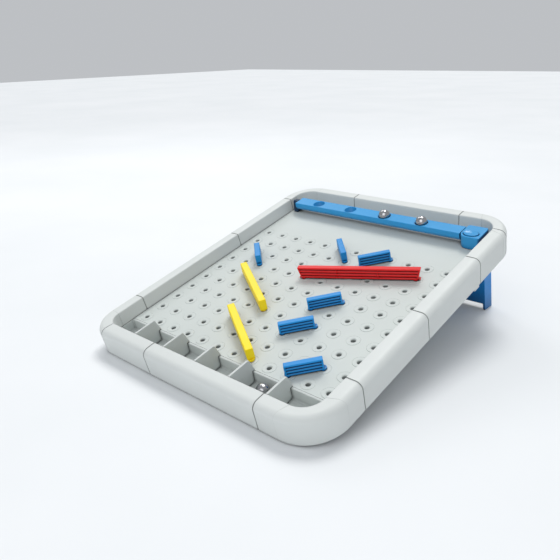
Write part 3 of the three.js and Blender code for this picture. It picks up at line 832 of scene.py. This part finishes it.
def facing(outline, centre, stretch, z, n):
    """n points where the outline meets rays from centre, in the directions of an oval's points."""
    ring = []
    for i in range(n):
        turn = FIRST_RAY + 2 * math.pi * i / n
        ray = Vector((math.cos(turn), stretch * math.sin(turn)))
        reach = 0
        for k, p in enumerate(outline):
            edge = outline[(k + 1) % len(outline)] - p
            across = ray.cross(edge)
            if abs(across) < 1e-9:
                continue
            if -1e-6 <= (p - centre).cross(ray) / across <= 1 + 1e-6:
                reach = max(reach, (p - centre).cross(edge) / across)
        ring.append((*(centre + ray * reach), z))
    return ring


def release_housing():
    """A hollow box, open below, with an oval window in its top for the button."""
    low, high = extent("release_housing")
    button_low, button_high = extent("release_button")
    n = 96
    wall = 2.0
    outer_r = 2.4
    inner_r = 3.2
    centre = (button_low.xy + button_high.xy) / 2
    half_w = (button_high.x - button_low.x) / 2 + GAP
    stretch = ((button_high.y - button_low.y) / 2 + GAP) / half_w
    ceiling = high.z - wall

    def box_ring(shrink, z, r):
        outline = rounded([
            (low.x + shrink, low.y + shrink, HOUSING_BIG_R - shrink),
            (high.x - shrink, low.y + shrink, r - shrink),
            (high.x - shrink, high.y - shrink, r - shrink),
            (low.x + shrink, high.y - shrink, r - shrink)])
        return facing(outline, centre, stretch, z, n)

    def window_ring(margin, z):
        return circle(*centre, half_w + margin, z, n, stretch)

    rings = [box_ring(0, low.z + 0.2, outer_r)]
    rings += [box_ring(shrink, high.z - d, outer_r) for d, shrink in reversed(rounding(0.9))]
    rings += [window_ring(1.0, high.z), window_ring(0.4, high.z - 0.2), window_ring(0, high.z - 0.7)]
    rings += [window_ring(0, ceiling), box_ring(wall, ceiling, inner_r), box_ring(wall, low.z, inner_r)]
    rings.append(box_ring(0.2, low.z, outer_r))
    shape = Shape().loft(rings, loop=True)
    piece(shape, "release_housing_moulding", "tray", LAUNCHER_BLUE, "launcher_blue", "release_housing")


def release_button():
    """An oval cap with a thumb hollow, open below where the spring sits."""
    low, high = extent("release_button")
    n = 48
    wall = 1.3
    ceiling = high.z - 2.2
    x, y = (low.x + high.x) / 2, (low.y + high.y) / 2
    half_w, half_d = (high.x - low.x) / 2, (high.y - low.y) / 2
    dish = 0.8
    dish_steps = 8

    def oval(shrink, z):
        return circle(x, y, half_w - shrink, z, n, (half_d - shrink) / (half_w - shrink))

    rings = [oval(wall + 1.9, ceiling), oval(wall + 0.5, ceiling), oval(wall, ceiling - 0.5)]
    rings += [oval(wall, low.z + 0.2), oval(wall - 0.2, low.z)]
    rings += [oval(s, low.z + d) for d, s in rounding(0.3)]
    rings += [oval(s, high.z - d) for d, s in reversed(rounding(0.7))]
    for k in range(1, dish_steps + 1):
        t = 1 - k / dish_steps
        z = high.z - dish * (1 - t * t) - 0.02
        rings.append(circle(x, y, (half_w - 0.9) * t, z, n, half_d / half_w))
    shape = Shape().loft(rings)
    piece(shape, "release_button_moulding", "button", LAUNCHER_BLUE, "launcher_blue", "release_button")


def return_spring():
    """The coil under the button."""
    low, high = extent("return_spring")
    centre = (low + high) / 2
    wire = 0.4
    wire_points = 10
    radius = (high.x - low.x) / 2 - wire
    turns = 5
    steps = turns * 24
    uneven = 0.028                 # opens the coil a little at its ends, and closes it in its middle
    rings = []
    for k in range(steps + 1):
        share = k / steps
        along = 2 * math.pi * turns * share
        height = share + uneven * math.sin(2 * math.pi * share)
        z = low.z + wire + (high.z - low.z - 2 * wire) * height
        ring = []
        for i in range(wire_points):
            around = 2 * math.pi * i / wire_points
            r = radius + wire * math.cos(around)
            x, y = centre.x + r * math.cos(along), centre.y + r * math.sin(along)
            ring.append((x, y, z + wire * math.sin(around)))
        rings.append(ring)
    coil = piece(Shape().loft(rings), "return_spring_coil", "tray", PIN_STEEL, "pin_steel", "return_spring")
    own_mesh(coil)


# ------------------------------------------------------------------ stand
def stand_panel():
    low, high = extent("stand_panel")
    pin_low, pin_high = extent("stand_pin_right")
    hinge_y, hinge_z = (pin_low.y + pin_high.y) / 2, (pin_low.z + pin_high.z) / 2
    wall = 2.4
    front, back = low.y + EAR_OVERHANG, high.y
    foot_front = low.z + (back - front) * math.tan(TILT)
    shape = Shape()
    # the two side flanges, with a foot that lies flat on the table and an ear round the hinge pin
    outline = rounded([
        (back, high.z, 2.4), (hinge_y, high.z + 0.6, 3.6), (front - 1.4, hinge_z + 2.4, 3.2),
        (front, hinge_z - 5, 2), (front, foot_front, 1.6), (back, low.z, 0.6)], degrees=10)
    top = max(p.y for p in outline)
    outline = [Vector((p.x, p.y - max(0, top - high.z))) if p.y > high.z - 1e-6 else p for p in outline]
    for x0 in (low.x, high.x - wall):
        shape.prism(outline, along_x, x0, x0 + wall, 0.5)
    # the web between them, with a turned lip along its foot
    inner_left, inner_right = low.x + wall - 0.6, high.x - wall + 0.6
    web = rounded([(front, WEB_BOTTOM, 0.6), (front + wall, WEB_BOTTOM, 0.6),
                   (front + wall, hinge_z - 3, 0.6), (front, hinge_z - 3, 0.6)])
    shape.prism(web, along_x, inner_left, inner_right, 0.2)
    lip_top = WEB_BOTTOM + 1.8
    lip = rounded([(front + 1, WEB_BOTTOM, 0.6), (back - 5, WEB_BOTTOM, 0.8),
                   (back - 5, lip_top, 0.8), (front + 1, lip_top, 0.3)])
    shape.prism(lip, along_x, inner_left, inner_right, 0.2)
    # and ribs down its hidden side
    for i in range(1, RIB_COUNT + 1):
        x = low.x + (high.x - low.x) * i / (RIB_COUNT + 1)
        rib = rounded([(front + 1, WEB_BOTTOM + 1, 0.3), (back - 6, WEB_BOTTOM + 1, 0.3),
                       (front + wall + 2, hinge_z - 8, 1.5), (front + 1, hinge_z - 8, 0.3)])
        shape.prism(rib, along_x, x - 0.8, x + 0.8, 0.3)
    piece(shape, "stand_moulding", "stand", STAND_BLUE, "stand_blue", "stand_panel")


def stand_bracket(side):
    node = "stand_bracket_" + side
    low, high = extent(node)
    middle = (low.y + high.y) / 2
    outline = rounded([(low.y, high.z, 0.3), (middle - 3, low.z, 2),
                       (middle + 3, low.z, 2), (high.y, high.z, 0.3)])
    shape = Shape().prism(outline, along_x, low.x, high.x, 0.5)
    piece(shape, node + "_moulding", "tray", RIM_GREY, "rim_grey", node)


def stand_pin(side):
    node = "stand_pin_" + side
    low, high = extent(node)
    y, z = (low.y + high.y) / 2, (low.z + high.z) / 2
    outline = [Vector(p[:2]) for p in circle(y, z, STAND_PIN_R, 0, 32)]
    shape = Shape().prism(outline, along_x, low.x, high.x, 0.5)
    piece(shape, node + "_turned", "tray", PIN_STEEL, "pin_steel", node)


# ------------------------------------------------------------------ walls and balls
WALL_KINDS = {  # material, slot, how much shorter the foot is at each end, and the collars' radius
    "red": (WALL_RED, "wall_red", 2.8, 3.0),
    "yellow": (WALL_YELLOW, "wall_yellow", 0.0, 3.0),
    "blue": (WALL_BLUE, "wall_blue", 0.0, 2.8),
}


def wall_outline(half_thick, top, depth):
    """Section of a wall piece across its length, with three grooves of this depth on each side.

    The ridges between the grooves bulge, and lean in towards their tops.
    """
    bottom = WALL_BOTTOM
    height = top - bottom
    width = GROOVE_WIDTH * height
    marks = [bottom + share * height for share in GROOVES]
    right = [(half_thick - 0.5, bottom), (half_thick - 0.15, bottom + 0.15)]
    low = bottom + 0.4
    for z in marks:
        span = z - width / 2 - low
        right += [(half_thick - 0.12 * depth, low + 0.12 * span), (half_thick, low + 0.42 * span),
                  (half_thick - 0.12 * depth, low + 0.72 * span), (half_thick - 0.42 * depth, low + span),
                  (half_thick - depth, z - width / 5), (half_thick - depth, z + width / 5)]
        low = z + width / 2
    right += [(half_thick - 0.1, low), (half_thick, low + 0.15)]
    top_r = 0.9
    for k in range(5):
        a = math.pi / 2 * k / 4
        right.append((half_thick - top_r + top_r * math.cos(a), top - top_r + top_r * math.sin(a)))
    return [Vector(p) for p in right] + [Vector((-x, z)) for x, z in reversed(right)]


def wall_frame(points, top):
    """A wall's middle, its directions along and across, its half length and its half thickness."""
    upper = [p for p in points if p.z > top - 1.5]
    middle = sum((p.xy for p in upper), Vector((0, 0))) / len(upper)
    xx = sum((p.x - middle.x) ** 2 for p in upper)
    yy = sum((p.y - middle.y) ** 2 for p in upper)
    xy = sum((p.x - middle.x) * (p.y - middle.y) for p in upper)
    heading = 0.5 * math.atan2(2 * xy, xx - yy)
    ahead = Vector((math.cos(heading), math.sin(heading)))
    across = Vector((-ahead.y, ahead.x))
    half_long = max((p.xy - middle).dot(ahead) for p in upper)
    half_thick = max((p.xy - middle).dot(across) for p in upper)
    return middle, ahead, across, half_long, half_thick


def wall_marks(half_long, kind):
    """(distance along the wall, inset, depth of the grooves) of each section, end to end."""
    full = GROOVE_DEPTH
    marks = [(-half_long + d, shrink, 0.0) for d, shrink in rounding(0.7)]
    marks += [(-half_long + END_POST, 0, 0.0), (-half_long + END_POST + 0.5, 0, full)]
    if kind == "red":
        # two plain posts part the long wall's grooves into three
        for share in (-1 / 3, 1 / 3):
            x = share * half_long
            marks += [(x - 0.45, 0, full), (x - 0.2, 0, 0.1), (x + 0.2, 0, 0.1), (x + 0.45, 0, full)]
    marks += [(half_long - END_POST - 0.5, 0, full), (half_long - END_POST, 0, 0.0)]
    marks += [(half_long - d, shrink, 0.0) for d, shrink in reversed(rounding(0.7))]
    return marks


def wall_piece(node, kind):
    points = corners_of(node)
    top = max(p.z for p in points)
    bottom = WALL_BOTTOM
    material, slot, slant, collar_r = WALL_KINDS[kind]
    middle, ahead, across, half_long, half_thick = wall_frame(points, top)
    pegs = [(p.xy - middle).dot(ahead) for p in points if p.z < -1]

    def place(x, y, z):
        """A point of the section at x along the wall. Towards the foot, it draws in by the kind's slant."""
        end_share = max(0.0, abs(x) / half_long - 0.6) / 0.4
        drop = (top - z) / (top - bottom) if z >= bottom else 0.0
        x -= math.copysign(slant * drop * end_share, x)
        flat = middle + ahead * x + across * y
        return (flat.x, flat.y, z)

    rings = []
    for x, shrink, depth in wall_marks(half_long, kind):
        outline = inset(wall_outline(half_thick, top, depth), shrink)
        rings.append([place(x, p.x, p.y) for p in outline])
    shape = Shape().loft(rings)
    collar = [(collar_r - 1, GAP), (collar_r - 0.25, GAP), (collar_r, GAP + 0.25),
              (collar_r, bottom + 0.6), (collar_r - 0.12, bottom + 0.88), (collar_r - 0.4, bottom + 1)]
    peg = [(0.9, -4.8), (1.4, -4.7), (PEG_R, -4.0), (PEG_R, bottom + 0.2)]
    for x in (min(pegs) + PEG_R, max(pegs) - PEG_R):
        for profile in (collar, peg):
            shape.turned(profile, middle + ahead * x, 24)
    piece(shape, node + "_moulding", node, material, slot, node)


def ball(node):
    """A ball whose mesh is a cube's grid blown up to a sphere, so that no point is a pole."""
    low, high = extent(node)
    centre = (low + high) / 2
    bm = bmesh.new()
    bmesh.ops.create_cube(bm, size=2)
    bmesh.ops.subdivide_edges(bm, edges=bm.edges, cuts=15, use_grid_fill=True)
    shape = Shape()
    for v in bm.verts:
        warped = Vector([math.tan(c * math.pi / 4) for c in v.co])
        shape.verts.append(tuple(centre + warped.normalized() * BALL_R))
    shape.faces = [tuple(v.index for v in f.verts) for f in bm.faces]
    bm.free()
    piece(shape, node + "_polished", node, BALL_STEEL, "ball_steel", node)


# ------------------------------------------------------------------ the object
for rim_node in RIM:
    rim_segment(rim_node)
deck_plate()
pocket_tray()
for number in range(1, 6):
    pocket_divider(f"pocket_divider_{number}")
launcher_bar()
pivot_bracket()
release_housing()
release_button()
return_spring()
stand_panel()
for hand in ("left", "right"):
    stand_bracket(hand)
    stand_pin(hand)
for body in frame["bodies"]:
    if body.startswith("wall_"):
        wall_piece(body, body.split("_")[1])
    if body.startswith("ball_"):
        ball(body)

# ------------------------------------------------------------------ floor, light and camera
half = 6                           # of the floor's side, in metres
floor_shape = Shape().flat([(-half, -half), (half, -half), (half, half), (-half, half)], 0)
floor_mesh = bpy.data.meshes.new("floor")
floor_mesh.from_pydata(floor_shape.verts, [], floor_shape.faces)
floor = bpy.data.objects.new("floor", floor_mesh)
bpy.context.scene.collection.objects.link(floor)
paper = Recipe("pale floor", Roughness=0.7)
blotches = paper.ramp(paper.noise(3, 4), 0.3, 0.7)
paper.link(paper.mix(blotches, srgb(226, 229, 231), srgb(232, 234, 236)), "Base Color")
floor_mesh.materials.append(paper.material)


LAMP_DISTANCE = 1.6                # in metres


def lamp(kind, name, towards, power, colour, **settings):
    """A light that shines on the object from the direction given."""
    data = bpy.data.lights.new(name, kind)
    data.energy = power
    data.color = colour
    for key, value in settings.items():
        setattr(data, key, value)
    obj = bpy.data.objects.new(name, data)
    bpy.context.scene.collection.objects.link(obj)
    direction = Vector(towards).normalized()
    obj.location = direction * LAMP_DISTANCE
    obj.rotation_euler = direction.to_track_quat("Z", "Y").to_euler()


lamp("SUN", "key light", (-0.16, 0.42, 0.89), 1.5, (1.0, 0.995, 0.98), angle=math.radians(24))
lamp("SUN", "front light", (0.25, -0.76, 0.55), 0.82, (0.98, 0.99, 1.0), angle=math.radians(50))
lamp("AREA", "softbox", (-0.62, 0.35, 0.70), 3.0, (1.0, 1.0, 1.0), shape="DISK", size=0.8)

world = bpy.data.worlds.new("studio")
world.use_nodes = True
background = world.node_tree.nodes["Background"]
background.inputs["Color"].default_value = (0.93, 0.96, 1.0, 1)
background.inputs["Strength"].default_value = 0.55
bpy.context.scene.world = world
bpy.context.scene.view_settings.view_transform = "Standard"

# the camera in the tray's frame: where it stands, and its right and forward directions
CAMERA_PLACE = (351.6, -249.0, 308.7)
CAMERA_RIGHT = Vector((0.745, 0.6416, -0.1824))
CAMERA_FORWARD = Vector((-0.6298, 0.5865, -0.5092))
LENS = 39.7

right_axis = (TRAY.to_3x3() @ CAMERA_RIGHT).normalized()
forward_axis = (TRAY.to_3x3() @ CAMERA_FORWARD).normalized()
up_axis = right_axis.cross(forward_axis).normalized()
right_axis = forward_axis.cross(up_axis).normalized()
camera_data = bpy.data.cameras.new("camera")
camera_data.lens = LENS
camera = bpy.data.objects.new("camera", camera_data)
bpy.context.scene.collection.objects.link(camera)
camera_turn = Matrix((right_axis, up_axis, -forward_axis)).transposed().to_4x4()
camera.matrix_world = Matrix.Translation(TRAY @ Vector(CAMERA_PLACE)) @ camera_turn
bpy.context.scene.camera = camera
